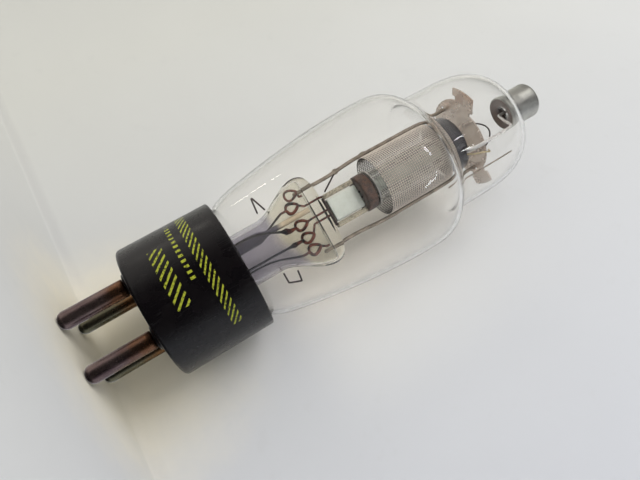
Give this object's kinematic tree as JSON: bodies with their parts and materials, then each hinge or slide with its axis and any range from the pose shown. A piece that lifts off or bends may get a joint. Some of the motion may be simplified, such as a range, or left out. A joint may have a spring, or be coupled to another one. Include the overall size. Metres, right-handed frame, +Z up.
{
  "type": "vacuum tube",
  "caption": "Upright vacuum tube: round black base with contact pins, shouldered glass bulb, pressed glass stem, woven wire anode and a metal top cap.",
  "frame": {"origin": "on the tube's axis at the level of the pin tips it stands on", "axes": "+Z up along the tube's axis to the top cap, X across the flat press of the glass stem, Y through its thin side; the two large pins are on the -Y side"},
  "size_m": [0.039, 0.039, 0.1211],
  "materials": {
    "phenolic": "black-brown moulded plastic, satin",
    "tarnished_brass": "plated brass, tarnished brown",
    "cement": "matt cement",
    "clear_glass": "clear blown glass",
    "stem_glass": "clear lead glass, faint blue-grey",
    "copper_lead": "copper-clad wire, dark red",
    "nickel": "bright nickel",
    "dull_nickel": "dull brownish nickel",
    "dark_steel": "darkened metal",
    "white_ceramic": "matt, faint green-white",
    "brown_ceramic": "dark brown glaze",
    "gauze": "woven wire, warm grey",
    "mica": "pinkish brown mica, half clear",
    "cap_metal": "satin bright metal"
  },
  "bodies": {
    "root": {"anode_lead": "copper_lead", "anode_mesh": "gauze", "anode_rod_1": "dull_nickel", "anode_rod_2": "dull_nickel", "base_cement": "cement", "base_shell": "phenolic", "bush_strap": "nickel", "bush_washer": "nickel", "cap_cement": "cement", "cathode_lead": "copper_lead", "cathode_sleeve": "white_ceramic", "ceramic_block": "white_ceramic", "exhaust_tube": "stem_glass", "getter_loop": "dark_steel", "glass_bulb": "clear_glass", "glass_stem": "stem_glass", "grid_lead": "nickel", "grid_rod_1": "nickel", "grid_rod_2": "nickel", "grid_winding": "nickel", "heater_hairpin": "dark_steel", "heater_lead_1": "copper_lead", "heater_lead_2": "copper_lead", "large_pin_1": "tarnished_brass", "large_pin_2": "tarnished_brass", "lower_band": "dark_steel", "lower_bush": "brown_ceramic", "mica_spacer": "mica", "rod_tail_wire": "copper_lead", "side_rail_1": "nickel", "side_rail_2": "nickel", "small_pin_1": "tarnished_brass", "small_pin_2": "tarnished_brass", "stay_wire": "dull_nickel", "stem_hook_1": "dull_nickel", "stem_hook_2": "dull_nickel", "tie_wire": "dark_steel", "top_cap": "cap_metal", "upper_bush": "brown_ceramic"}
  },
  "joints": []
}
